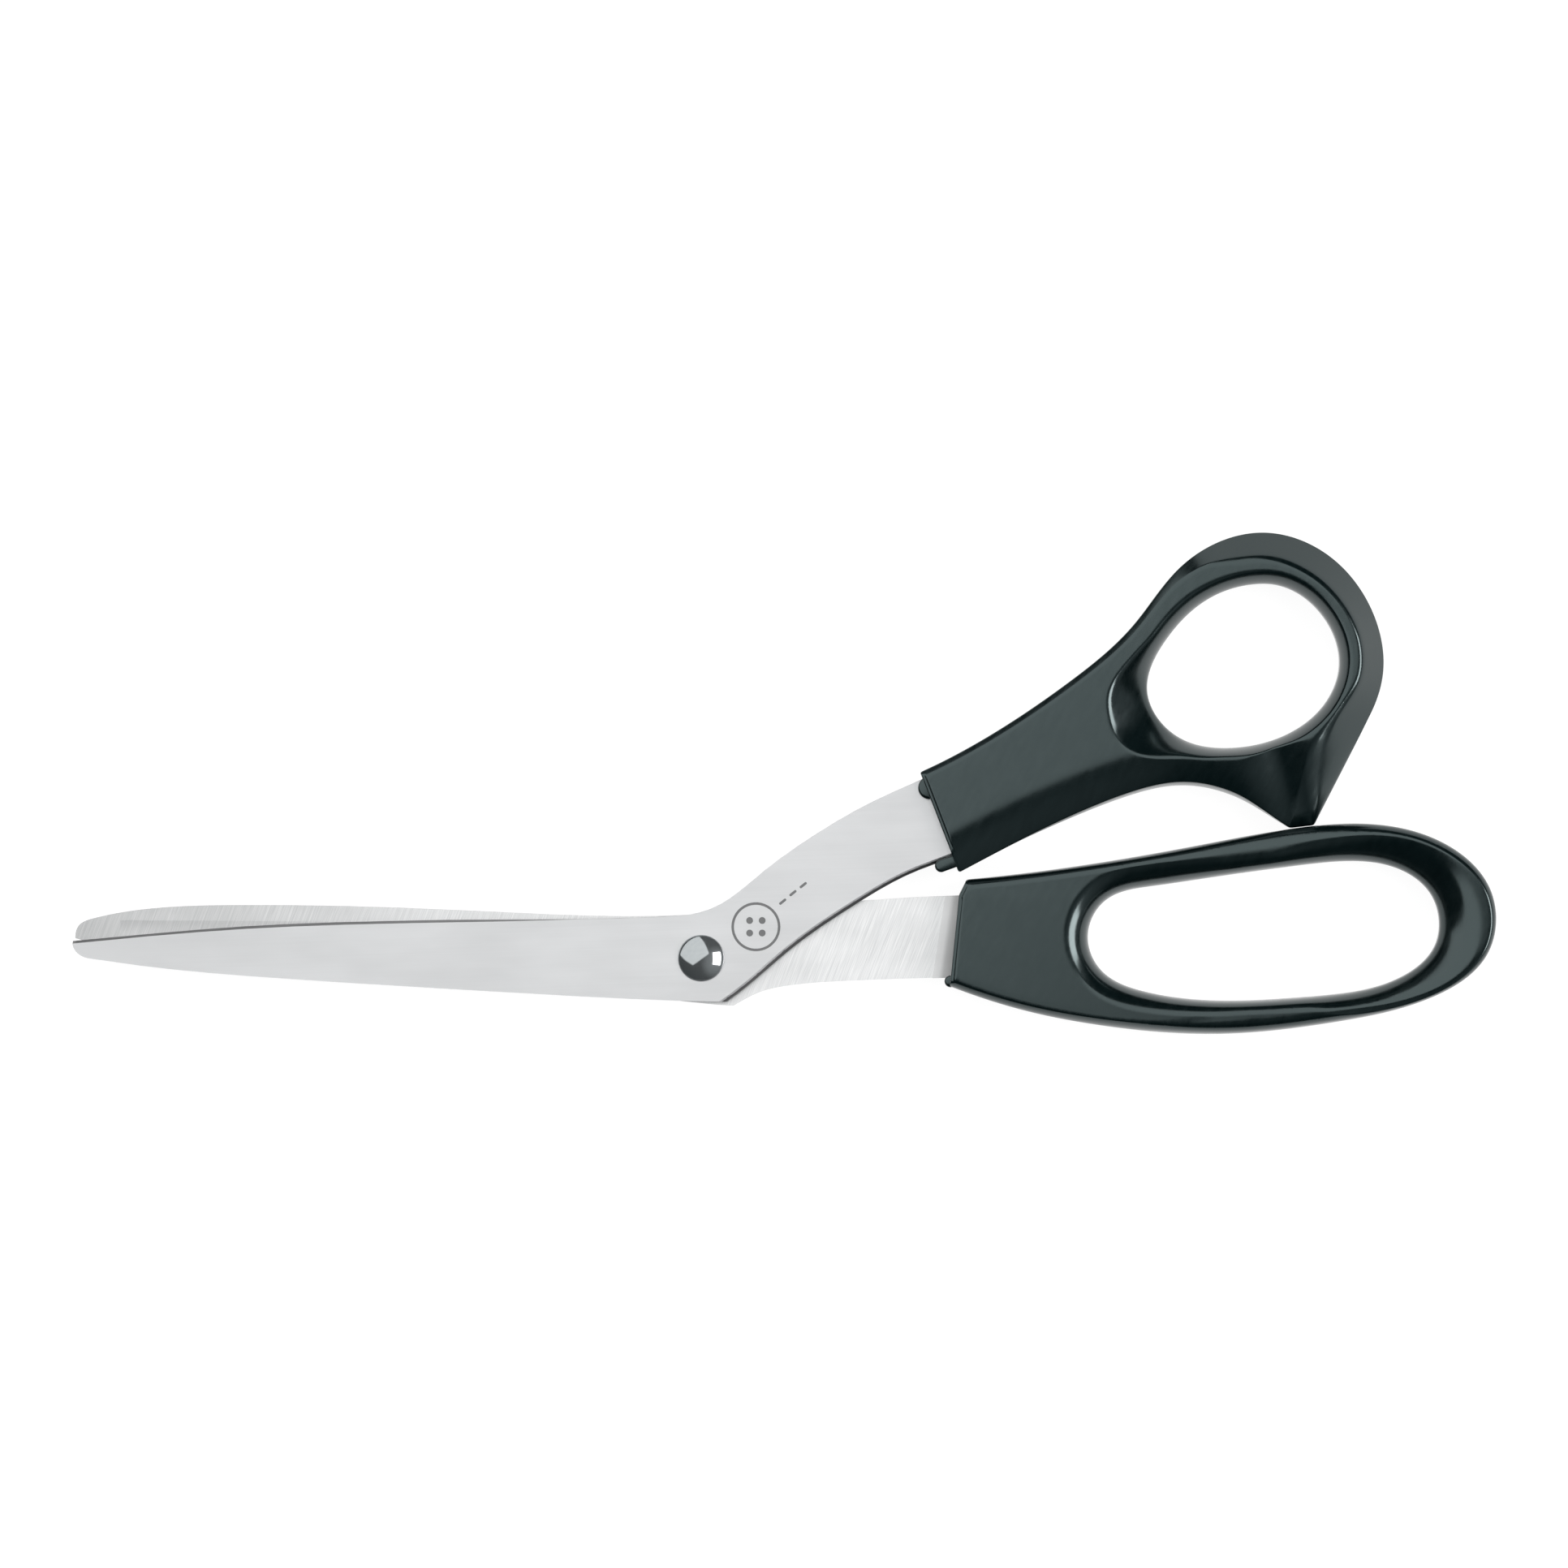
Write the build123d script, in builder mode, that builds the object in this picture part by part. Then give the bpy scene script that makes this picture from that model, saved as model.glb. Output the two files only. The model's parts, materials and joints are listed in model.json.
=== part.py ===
from build123d import *
import os

# Fabric shears, 250 mm class, bent pattern: two stamped steel blades with their tangs moulded
# into plastic handles, turning on one riveted pivot.  Millimetres.  +X runs from the blade
# tips to the finger bows, +Z is the side of the domed rivet head, and the origin is under the
# middle of the object's box, on the surface that the closed shears lie on.
#
# Every outline below is given from the pivot's centre, in the plane of the blades.

# ---- driving dimensions -----------------------------------------------------------------
PIVOT_X = -14.58           # pivot centre from the middle of the box
PIVOT_Y = -30.67
HANDLE_THICK = 10.0        # flat moulded handles, both the same height
RIDE_Z = HANDLE_THICK / 2  # plane in which the two blades slide on each other

BLADE_THICK = 2.2
RIDE_GAP = 0.05            # running gap between the blades' inner faces
BEVEL_WIDTH = 0.45         # cutting bevel, seen square on
HOLLOW_TIP = 0.06          # depth of the hollow grinding near the tips
HOLLOW_PIVOT = 0.16        # and ahead of the pivot
EDGE_ROUND = 0.8           # rounding of the front blade's heel and lower tang edge
BAND_RISE = 0.12           # unground band of the rear tang, ahead of its handle

HEAD_R = 4.08              # domed rivet head
HEAD_RISE = 1.9
HEAD_RIM = 0.3
HEAD_GAP = 0.03            # play under the head
SHANK_R = 2.5
BORE_PLAY = 0.05           # radial play of the front blade on the shank
WASHER_R = 4.7
WASHER_THICK = 1.0
TAIL_R = 3.4               # peened tail under the washer
TAIL_RISE = 1.7

PEG_R = 2.2                # plastic pegs that lock the tangs
HOLE_ROUND = 2.4           # rounding inside the bows
RAIL_ROUND = 1.6           # rounding of the handles' outer edges
EAR_RISE = 0.9             # moulding ears over the blades at the handles' mouths

MARK_DEPTH = 0.12          # pressed sewing-button mark beside the pivot
MARK_LINE = 0.45
BUTTON_R = 4.3
BUTTON_HOLE_R = 0.6
BUTTON_HOLE_PITCH = 2.2

RIDE = Plane(origin=(PIVOT_X, PIVOT_Y, RIDE_Z))
FRONT_INNER = RIDE.offset(RIDE_GAP / 2)
FRONT_OUTER = FRONT_INNER.offset(BLADE_THICK)
REAR_INNER = RIDE.offset(-RIDE_GAP / 2)
REAR_OUTER = REAR_INNER.offset(-BLADE_THICK)
UNDERSIDE = RIDE.offset(-HANDLE_THICK / 2)
PIVOT_SECTION = Plane(origin=(PIVOT_X, PIVOT_Y, RIDE_Z), x_dir=(1, 0, 0), z_dir=(0, -1, 0))

os.makedirs("parts", exist_ok=True)


def hollow_section(station, low, high, floor, back):
    """Section of the hollow grinding across an inner face: an arc from low to high, floor deep."""
    with BuildSketch(Plane(origin=(PIVOT_X + station, PIVOT_Y, RIDE_Z), x_dir=(0, 1, 0),
                           z_dir=(1, 0, 0))) as section:
        with BuildLine():
            ThreePointArc((low, 0), ((low + high) / 2, floor), (high, 0))
            Polyline((high, 0), (high, back), (low, back), (low, 0))
        make_face()
    return section.sketch


# ---- front blade, on the thumb's side ---------------------------------------------------
# Its cutting edge faces +Y.  Behind the pivot the tang rises into the thumb handle.
FRONT_TIP = (-110.3, 3.0)
FRONT_TOE = (-104.5, -0.45)
FRONT_NECK = (-4.1, 7.4)
FRONT_HEEL = (4.5, -7.65)
FRONT_MOUTH_UP = (40.2, 32.05)
FRONT_MOUTH_LOW = (45.0, 18.0)
MARK_AT = (9.6, 5.5)

with BuildPart() as front_blade:
    with BuildSketch(FRONT_INNER):
        with BuildLine():
            Spline(FRONT_TIP, (-80.3, 5.55), (-44.7, 6.7), FRONT_NECK,
                   tangents=[(1, 0.09), (1, 0.06)])
            Spline(FRONT_NECK, (3.0, 9.25), (10.8, 15.1), (23.6, 23.9), FRONT_MOUTH_UP,
                   tangents=[(1, 0.06), (1, 0.44)])
            Polyline(FRONT_MOUTH_UP, (44.6, 31.4), (63.6, 42.4))
            RadiusArc((63.6, 42.4), (68.4, 34.1), 5.0)
            Polyline((68.4, 34.1), (49.2, 23.0), FRONT_MOUTH_LOW)
            Spline(FRONT_MOUTH_LOW, (36.5, 14.7), (27.9, 9.95), (15.1, 1.1), FRONT_HEEL,
                   tangents=[(-1, -0.40), (-0.82, -0.57)])
            Spline(FRONT_HEEL, (-30.5, -6.2), (-73.2, -3.6), FRONT_TOE,
                   tangents=[(-1, 0.01), (-1, 0.16)])
            Spline(FRONT_TOE, (-109.3, 0.75), FRONT_TIP, tangents=[(-1, 0.16), (0.1, 1)])
        make_face()
    extrude(amount=BLADE_THICK)
    heel_edges = (front_blade.edges().group_by(Axis.Z)[-1]
                  .filter_by(GeomType.BSPLINE)
                  .filter_by(lambda e: e.center().Y < PIVOT_Y + 8 and e.center().X > PIVOT_X))
    fillet(heel_edges, radius=EDGE_ROUND)
    # the cutting bevel runs from the tip and fades out ahead of the pivot
    with BuildSketch(FRONT_INNER):
        with BuildLine():
            Spline((-118.0, 2.25), FRONT_TIP, (-80.3, 5.55), (-44.7, 6.7), (-28.0, 7.05),
                   (-12.0, 7.9), tangents=[(1, 0.09), (1, 0.1)])
            Polyline((-12.0, 7.9), (-12.0, 60.0), (80.0, 60.0), (80.0, -20.0), (-118.0, -20.0),
                     (-118.0, 2.25))
        make_face()
    slant = Vector(0, -BEVEL_WIDTH, BLADE_THICK)
    extrude(amount=slant.length, dir=slant.normalized(), mode=Mode.INTERSECT)
    # hollow grinding of the inner face
    near_tip = hollow_section(-102.0, -0.6, 3.6, RIDE_GAP / 2 + HOLLOW_TIP, -1.0)
    near_pivot = hollow_section(-14.0, -6.2, 6.4, RIDE_GAP / 2 + HOLLOW_PIVOT, -1.0)
    loft([near_tip, near_pivot], mode=Mode.SUBTRACT)
    # pivot bore
    with BuildSketch(FRONT_INNER):
        Circle(SHANK_R + BORE_PLAY)
    extrude(amount=BLADE_THICK, mode=Mode.SUBTRACT)
    # holes for the plastic pegs
    with BuildSketch(FRONT_INNER):
        with Locations((52.6, 30.3), (61.6, 35.5)):
            Circle(PEG_R)
    extrude(amount=BLADE_THICK, mode=Mode.SUBTRACT)
    # pressed mark: a four-hole button with a running stitch
    with BuildSketch(FRONT_OUTER):
        with Locations(MARK_AT):
            Circle(BUTTON_R)
            Circle(BUTTON_R - MARK_LINE, mode=Mode.SUBTRACT)
            with GridLocations(BUTTON_HOLE_PITCH, BUTTON_HOLE_PITCH, 2, 2):
                Circle(BUTTON_HOLE_R)
        with Locations((14.3, 9.9), (16.1, 11.4), (17.9, 12.8)):
            SlotOverall(1.5, MARK_LINE, rotation=39)
    extrude(amount=-MARK_DEPTH, mode=Mode.SUBTRACT)

front_blade.part.label = "front_blade"
export_step(front_blade.part, "parts/front_blade.step")


# ---- rear blade, on the fingers' side ---------------------------------------------------
# Its cutting edge faces -Y, behind the front blade, and its tang runs almost straight back.
REAR_TIP = (-109.9, 3.5)
REAR_BROW = (-106.0, 7.15)
REAR_HEEL = (5.65, -8.4)
REAR_NECK = (-14.0, -6.5)
REAR_MOUTH_UP = (47.0, 11.05)
REAR_MOUTH_LOW = (45.0, -3.45)

with BuildPart() as rear_blade:
    with BuildSketch(REAR_INNER):
        with BuildLine():
            Spline(REAR_TIP, (-109.25, 5.75), REAR_BROW, tangents=[(0.0, 1), (1, 0.25)])
            Spline(REAR_BROW, (-80.3, 9.3), (-44.7, 8.5), (-9.1, 7.35), REAR_MOUTH_UP,
                   tangents=[(1, 0.25), (1, 0.03)])
            Polyline(REAR_MOUTH_UP, (49.6, 8.4), (60.6, 8.4))
            RadiusArc((60.6, 8.4), (60.6, -0.6), 4.5)
            Polyline((60.6, -0.6), (49.0, -0.6), REAR_MOUTH_LOW)
            Spline(REAR_MOUTH_LOW, (27.9, -3.9), (15.1, -4.85), (10.0, -6.1), REAR_HEEL,
                   tangents=[(-1, 0.0), (-0.86, -0.52)])
            Spline(REAR_HEEL, (-2.0, -7.7), REAR_NECK, tangents=[(-1, 0.04), (-1, 0.10)])
            Spline(REAR_NECK, (-44.7, -3.4), (-80.3, 0.0), REAR_TIP,
                   tangents=[(-1, 0.10), (-1, 0.36)])
        make_face()
    extrude(amount=-BLADE_THICK)
    # cutting bevel, fading out ahead of the pivot
    with BuildSketch(REAR_INNER):
        with BuildLine():
            Spline((-14.0, -7.2), (-28.0, -5.05), (-44.7, -3.4), (-80.3, 0.0), REAR_TIP,
                   (-118.0, 6.6), tangents=[(-1, 0.14), (-1, 0.40)])
            Polyline((-118.0, 6.6), (-118.0, 20.0), (80.0, 20.0), (80.0, -20.0), (-14.0, -20.0),
                     (-14.0, -7.2))
        make_face()
    slant = Vector(0, BEVEL_WIDTH, -BLADE_THICK)
    extrude(amount=slant.length, dir=slant.normalized(), mode=Mode.INTERSECT)
    near_tip = hollow_section(-102.0, 2.6, 7.0, -RIDE_GAP / 2 - HOLLOW_TIP, 1.0)
    near_pivot = hollow_section(-14.0, -5.8, 6.6, -RIDE_GAP / 2 - HOLLOW_PIVOT, 1.0)
    loft([near_tip, near_pivot], mode=Mode.SUBTRACT)
    # unground band ahead of the handle
    with BuildSketch(REAR_INNER):
        with BuildLine():
            Polyline((40.6, -3.55), (42.8, 10.9), REAR_MOUTH_UP, (49.6, 8.4), (49.0, -0.6),
                     REAR_MOUTH_LOW, (40.6, -3.55))
        make_face()
    extrude(amount=BAND_RISE)
    with BuildSketch(REAR_INNER):
        Circle(SHANK_R)
        with Locations((56.0, 3.9)):
            Circle(PEG_R)
    extrude(amount=-BLADE_THICK, mode=Mode.SUBTRACT)

rear_blade.part.label = "rear_blade"
export_step(rear_blade.part, "parts/rear_blade.step")


# ---- rivet and washer -------------------------------------------------------------------
head_seat = RIDE_GAP / 2 + BLADE_THICK + HEAD_GAP
washer_top = -RIDE_GAP / 2 - BLADE_THICK
tail_seat = washer_top - WASHER_THICK

with BuildPart() as pivot_rivet:
    with BuildSketch(PIVOT_SECTION):
        with BuildLine():
            Line((0, tail_seat - TAIL_RISE), (0, head_seat + HEAD_RISE))
            TangentArc((0, head_seat + HEAD_RISE), (HEAD_R, head_seat + HEAD_RIM), tangent=(1, 0))
            Polyline((HEAD_R, head_seat + HEAD_RIM), (HEAD_R, head_seat), (SHANK_R, head_seat),
                     (SHANK_R, tail_seat), (TAIL_R, tail_seat))
            TangentArc((0, tail_seat - TAIL_RISE), (TAIL_R, tail_seat), tangent=(1, 0))
        make_face()
    revolve(axis=Axis((PIVOT_X, PIVOT_Y, 0), (0, 0, 1)))

pivot_rivet.part.label = "pivot_rivet"
export_step(pivot_rivet.part, "parts/pivot_rivet.step")

with BuildPart() as rear_washer:
    with BuildSketch(REAR_OUTER):
        Circle(WASHER_R)
        Circle(SHANK_R, mode=Mode.SUBTRACT)
    extrude(amount=-WASHER_THICK)
    chamfer(rear_washer.edges().group_by(Axis.Z)[0].sort_by(SortBy.RADIUS)[-1], length=0.3)

rear_washer.part.label = "rear_washer"
export_step(rear_washer.part, "parts/rear_washer.step")


# ---- thumb handle -----------------------------------------------------------------------
# A flat shank, a round bow, and a spur that meets the finger bow as the closing stop.
THUMB_MOUTH_UP = (38.4, 32.6)
THUMB_MOUTH_LOW = (45.2, 15.0)
BOW_EDGE = (117.2, 42.1)
SPUR_RIGHT = (107.6, 23.3)
SPUR_LEFT = (103.3, 22.8)

with BuildPart() as thumb_handle:
    with BuildSketch(UNDERSIDE):
        with BuildLine():
            Spline(THUMB_MOUTH_UP, (51.7, 39.7), (64.9, 48.7), (76.0, 58.6), (84.2, 68.7),
                   (98.4, 74.7), (112.0, 69.2), (119.8, 53.5), BOW_EDGE,
                   tangents=[(1, 0.45), (-0.462, -0.887)])
            Polyline(BOW_EDGE, SPUR_RIGHT, SPUR_LEFT)
            Spline(SPUR_LEFT, (94.4, 28.05), (84.8, 30.3), (75.1, 28.5), (60.3, 22.6),
                   THUMB_MOUTH_LOW, tangents=[(-0.87, 0.5), (-0.88, -0.47)])
            Line(THUMB_MOUTH_LOW, THUMB_MOUTH_UP)
        make_face()
    extrude(amount=HANDLE_THICK)
    rim = thumb_handle.edges().group_by(Axis.Z)[0] + thumb_handle.edges().group_by(Axis.Z)[-1]
    fillet(rim, radius=RAIL_ROUND)
    with BuildSketch(UNDERSIDE):
        with BuildLine():
            Spline((98.7, 65.7), (107.6, 61.8), (112.0, 51.2), (109.0, 44.0), (102.7, 39.2),
                   (93.1, 36.9), (83.5, 39.0), (78.4, 46.5), (81.8, 56.1), (89.0, 63.0),
                   periodic=True)
        make_face()
    extrude(amount=HANDLE_THICK, mode=Mode.SUBTRACT)
    cut = thumb_handle.edges(Select.LAST)
    fillet(cut.group_by(Axis.Z)[0] + cut.group_by(Axis.Z)[-1], radius=HOLE_ROUND)
    # moulding ears at the mouth: one laps the blade's face, one sits under its lower edge
    with BuildSketch(FRONT_OUTER):
        with Locations((40.1, 29.9)):
            Circle(2.05)
    extrude(amount=EAR_RISE)
    with BuildSketch(REAR_INNER):
        with Locations((43.3, 16.6)):
            SlotOverall(4.8, 2.2, rotation=20)
    extrude(amount=BLADE_THICK + EAR_RISE)
    add(front_blade.part, mode=Mode.SUBTRACT)

thumb_handle.part.label = "thumb_handle"
export_step(thumb_handle.part, "parts/thumb_handle.step")


# ---- finger handle ----------------------------------------------------------------------
# A long bow for three fingers, which lies on the table while the shears cut.
FINGER_MOUTH_UP = (46.6, 13.8)
FINGER_MOUTH_LOW = (43.6, -4.95)

with BuildPart() as finger_handle:
    with BuildSketch(UNDERSIDE):
        with BuildLine():
            Spline(FINGER_MOUTH_UP, (62.3, 15.6), (85.8, 19.5), (104.0, 22.75), (116.0, 23.6),
                   (129.5, 20.6), (138.6, 11.7), (138.2, 1.2), (127.5, -7.2), (112.2, -11.1),
                   (90.0, -13.35), (68.7, -11.6), FINGER_MOUTH_LOW,
                   tangents=[(1, 0.09), (-0.93, 0.36)])
            Polyline(FINGER_MOUTH_LOW, (45.2, 11.0), FINGER_MOUTH_UP)
        make_face()
    extrude(amount=HANDLE_THICK)
    rim = finger_handle.edges().group_by(Axis.Z)[0] + finger_handle.edges().group_by(Axis.Z)[-1]
    fillet(rim, radius=RAIL_ROUND)
    with BuildSketch(UNDERSIDE):
        with BuildLine():
            Spline((77.7, 12.4), (91.4, 14.4), (105.1, 16.25), (114.5, 17.0), (122.0, 15.8),
                   (128.3, 10.9), (128.9, 2.3), (122.6, -3.5), (107.7, -6.7), (91.7, -7.5),
                   (77.9, -5.9), (70.2, -2.1), (67.9, 3.9), (71.0, 10.1), periodic=True)
        make_face()
    extrude(amount=HANDLE_THICK, mode=Mode.SUBTRACT)
    cut = finger_handle.edges(Select.LAST)
    fillet(cut.group_by(Axis.Z)[0] + cut.group_by(Axis.Z)[-1], radius=HOLE_ROUND)
    with BuildSketch(REAR_OUTER):
        with Locations((43.75, -4.1)):
            Circle(1.05)
    extrude(amount=BLADE_THICK + EAR_RISE)
    add(rear_blade.part, mode=Mode.SUBTRACT)

finger_handle.part.label = "finger_handle"
export_step(finger_handle.part, "parts/finger_handle.step")

everything = Compound([front_blade.part, rear_blade.part, pivot_rivet.part, rear_washer.part,
                       thumb_handle.part, finger_handle.part])
print(everything.bounding_box())
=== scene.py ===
"""Looks of the fabric shears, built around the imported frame.

The blades and the washer are the CAD nodes with better materials, and the rivet is turned anew.
The two moulded handles are finer meshes: each is worked out from its CAD node's own outline, as
heights over the plane of the blades, with a sloped outer side, a face, and a rounding or scoop
round the bow.
"""
import json
import math

import bpy
import numpy as np
from mathutils import Matrix, Vector
from mathutils.geometry import delaunay_2d_cdt

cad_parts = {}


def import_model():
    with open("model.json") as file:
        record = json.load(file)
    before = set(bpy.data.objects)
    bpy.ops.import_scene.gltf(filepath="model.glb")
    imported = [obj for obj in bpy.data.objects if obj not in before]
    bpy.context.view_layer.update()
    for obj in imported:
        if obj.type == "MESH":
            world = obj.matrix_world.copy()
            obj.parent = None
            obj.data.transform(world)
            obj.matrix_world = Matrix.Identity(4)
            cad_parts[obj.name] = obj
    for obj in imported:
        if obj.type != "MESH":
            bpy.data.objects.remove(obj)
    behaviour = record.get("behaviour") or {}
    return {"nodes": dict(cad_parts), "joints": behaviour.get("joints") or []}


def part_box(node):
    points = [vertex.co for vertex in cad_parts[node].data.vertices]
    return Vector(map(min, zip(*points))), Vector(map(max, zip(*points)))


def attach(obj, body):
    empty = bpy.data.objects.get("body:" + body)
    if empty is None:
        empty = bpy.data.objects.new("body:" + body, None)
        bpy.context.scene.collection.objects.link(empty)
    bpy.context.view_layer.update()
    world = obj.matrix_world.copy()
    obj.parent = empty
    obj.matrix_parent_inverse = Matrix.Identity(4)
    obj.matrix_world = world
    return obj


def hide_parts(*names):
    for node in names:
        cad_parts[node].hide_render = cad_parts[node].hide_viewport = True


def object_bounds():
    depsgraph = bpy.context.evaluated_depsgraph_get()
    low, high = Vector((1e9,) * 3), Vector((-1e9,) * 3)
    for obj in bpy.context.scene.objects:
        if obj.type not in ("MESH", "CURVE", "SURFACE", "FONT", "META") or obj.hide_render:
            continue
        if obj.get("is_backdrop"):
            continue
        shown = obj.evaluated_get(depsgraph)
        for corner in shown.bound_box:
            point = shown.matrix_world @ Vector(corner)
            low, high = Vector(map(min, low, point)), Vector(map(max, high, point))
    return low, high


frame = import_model()
cad_low, cad_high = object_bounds()

MM = 0.001                                  # sizes below are in millimetres unless they say metres
PIVOT = np.array(frame["joints"][0]["pos_m"]) / MM
TOP = cad_high.z / MM                       # faces of the handles
BLADE_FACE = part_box("front_blade")[1].z / MM
ON_ONE_PLACE = 1e-3                         # points nearer than this share one place
LOOP_JOIN = 1e-2                            # the widest gap between two cuts that join
BATCH = 2000                                # points that are measured at once


# ---- outlines, read from the CAD handles ------------------------------------------------

def section_loops(node, level):
    """Closed loops where a level plane cuts a CAD node, as arrays of points.

    Only crossings of upright edges are kept, because those lie on the true outline.
    """
    mesh = frame["nodes"][node].data
    corners = np.array([v.co for v in mesh.vertices]) / MM
    mesh.calc_loop_triangles()
    triangles = corners[np.array([t.vertices for t in mesh.loop_triangles])]
    above = triangles[:, :, 2] > level
    segments, upright = [], []
    for triangle, side in zip(triangles, above):
        if side.all() or not side.any():
            continue
        lone = int(np.argmax(side)) if side.sum() == 1 else int(np.argmin(side))
        ends, straight = [], []
        for other in ((lone + 1) % 3, (lone + 2) % 3):
            a, b = triangle[lone], triangle[other]
            share = (level - a[2]) / (b[2] - a[2])
            ends.append(a[:2] + share * (b[:2] - a[:2]))
            straight.append(np.hypot(*(b[:2] - a[:2])) < ON_ONE_PLACE)
        segments.append(ends)
        upright.append(straight)
    segments, upright = np.array(segments), np.array(upright)
    unused = np.ones(len(segments), bool)
    loops = []
    while unused.any():
        at, end = int(np.argmax(unused)), 1
        points = []
        while True:
            unused[at] = False
            if upright[at][end]:
                points.append(segments[at][end])
            gap = np.linalg.norm(segments - segments[at][end], axis=2)
            gap[~unused] = np.inf
            nearest = np.unravel_index(np.argmin(gap), gap.shape)
            if gap[nearest] > LOOP_JOIN:
                break
            at, end = int(nearest[0]), 1 - int(nearest[1])
        loops.append(np.array(points))
    return loops


def round_loop(knots, rounding=0.3, corner_deg=17.0, fine=0.05, longest=0.42, turn_deg=6.0):
    """A smooth closed loop through knots, its corners eased by rounding.

    Knots that turn by more than corner_deg are corners.  The points are at most longest apart,
    and closer where the loop bends, by about turn_deg each.
    """
    ahead = np.roll(knots, -1, 0) - knots
    behind = np.roll(ahead, 1, 0)
    long_ahead = np.linalg.norm(ahead, axis=1)
    long_behind = np.roll(long_ahead, 1)
    turn = np.arctan2(behind[:, 0] * ahead[:, 1] - behind[:, 1] * ahead[:, 0],
                      (behind * ahead).sum(1))
    corner = np.abs(turn) > math.radians(corner_deg)
    slope = ((ahead / long_ahead[:, None] * long_behind[:, None]
              + behind / long_behind[:, None] * long_ahead[:, None])
             / (long_ahead + long_behind)[:, None])
    points = []
    for i in range(len(knots)):
        j = (i + 1) % len(knots)
        chord = ahead[i]
        leave = chord if corner[i] else slope[i] * long_ahead[i]
        arrive = chord if corner[j] else slope[j] * long_ahead[i]
        t = np.arange(0, 1, fine / long_ahead[i])[:, None]
        points.append(knots[i] * (2 * t**3 - 3 * t**2 + 1) + leave * (t**3 - 2 * t**2 + t)
                      + knots[j] * (3 * t**2 - 2 * t**3) + arrive * (t**3 - t**2))
    loop = even_loop(np.concatenate(points), fine)
    reach = int(4 * rounding / fine)
    weights = bell(reach, rounding / fine)
    padded = np.concatenate([loop[-reach:], loop, loop[:reach]])
    loop = np.stack([np.convolve(padded[:, c], weights, "valid") for c in (0, 1)], 1)
    step = np.roll(loop, -1, 0) - loop
    heading = np.unwrap(np.arctan2(step[:, 1], step[:, 0]))
    bend = np.abs(np.gradient(heading))
    need = np.concatenate([[0], np.cumsum(np.linalg.norm(step, axis=1) / longest
                                          + bend / math.radians(turn_deg))])
    want = np.linspace(0, need[-1], int(need[-1]) + 1)[:-1]
    closed = np.concatenate([loop, loop[:1]])
    loop = np.stack([np.interp(want, need, closed[:, c]) for c in (0, 1)], 1)
    area = (loop[:, 0] * np.roll(loop[:, 1], -1) - loop[:, 1] * np.roll(loop[:, 0], -1)).sum()
    return loop if area > 0 else loop[::-1]


def bell(reach, width):
    """Weights of a bell curve of this width, as far as reach on both sides of its middle."""
    weights = np.exp(-0.5 * (np.arange(-reach, reach + 1) / width) ** 2)
    return weights / weights.sum()


def even_loop(points, step):
    """The same closed loop with evenly spaced points."""
    closed = np.concatenate([points, points[:1]])
    along = np.concatenate([[0], np.cumsum(np.linalg.norm(np.diff(closed, axis=0), axis=1))])
    want = np.arange(0, along[-1], step)
    return np.stack([np.interp(want, along, closed[:, c]) for c in (0, 1)], 1)


def left_normals(loop):
    """Unit normals on the left of a loop's direction, which is inside an anticlockwise loop."""
    tangent = np.roll(loop, -1, 0) - np.roll(loop, 1, 0)
    tangent /= np.linalg.norm(tangent, axis=1)[:, None]
    return np.stack([-tangent[:, 1], tangent[:, 0]], 1)


def distance(points, starts, ends):
    """Distance from each point to the nearest of the segments."""
    span = ends - starts
    span_sq = (span**2).sum(1)
    nearest = []
    for part in np.array_split(points, max(1, len(points) // BATCH)):
        away = part[:, None, :] - starts[None]
        share = np.clip((away * span[None]).sum(2) / span_sq[None], 0, 1)
        gap = away - share[..., None] * span[None]
        nearest.append(np.sqrt((gap**2).sum(2).min(1)))
    return np.concatenate(nearest)


def inside(points, loop):
    """Even-odd test of points against a closed loop."""
    a, b = loop, np.roll(loop, -1, 0)
    found = []
    for part in np.array_split(points, max(1, len(points) // BATCH)):
        x, y = part[:, :1], part[:, 1:]
        crosses = (a[None, :, 1] > y) != (b[None, :, 1] > y)
        rise = np.where(b[:, 1] == a[:, 1], 1e-12, b[:, 1] - a[:, 1])
        at = a[None, :, 0] + (y - a[None, :, 1]) * ((b - a)[:, 0] / rise)[None]
        found.append((crosses & (x < at)).sum(1) % 2 == 1)
    return np.concatenate(found)


# ---- heights ----------------------------------------------------------------------------

class Stops:
    """Values that change smoothly with the bearing in degrees round the bow's middle.

    Each stop is a bearing and its values.
    """
    EASE_DEG = 4.0
    EASE_REACH_DEG = 20

    def __init__(self, *stops):
        stops = sorted(stops)
        bearing = np.array([s[0] for s in stops], float)
        wrapped = np.concatenate([bearing - 360, bearing, bearing + 360])
        self.degrees = np.arange(0, 361)
        wide = np.arange(-self.EASE_REACH_DEG, 361 + self.EASE_REACH_DEG)
        weights = bell(self.EASE_REACH_DEG, self.EASE_DEG)
        self.columns = []
        for c in range(1, len(stops[0])):
            values = np.array([s[c] for s in stops] * 3, float)
            self.columns.append(np.convolve(np.interp(wide, wrapped, values), weights, "valid"))

    def at(self, bearing):
        """Each value at these bearings."""
        return [np.interp(bearing, self.degrees, c) for c in self.columns]


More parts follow.
